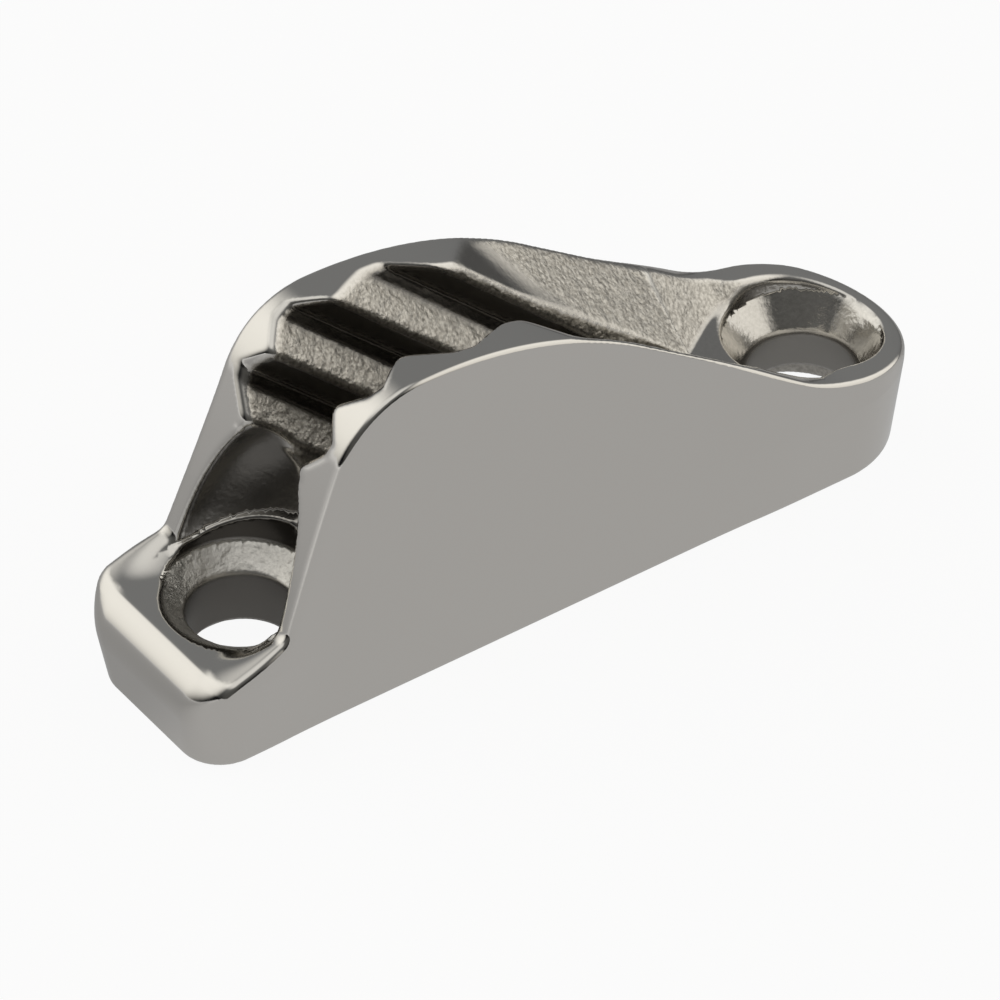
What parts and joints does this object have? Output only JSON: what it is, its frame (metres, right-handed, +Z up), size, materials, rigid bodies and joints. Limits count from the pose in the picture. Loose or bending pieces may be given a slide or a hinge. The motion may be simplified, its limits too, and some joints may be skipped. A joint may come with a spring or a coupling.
{
  "type": "rope cleat",
  "caption": "One-piece open jamming cleat for small rope: a V jaw with slanted teeth between a front screw pad and a rear screw ring.",
  "frame": {"origin": "centre of the flat base on which the cleat is screwed down", "axes": "+Z up from the base, +X along the cleat towards its low round rear end, +Y across it"},
  "size_m": [0.0679, 0.0172, 0.028],
  "materials": {
    "stainless_casting": "mirror-polished outside and on the rims, grainy as-cast metal inside the jaw"
  },
  "bodies": {
    "root": {"cleat_body": "stainless_casting"}
  },
  "joints": []
}
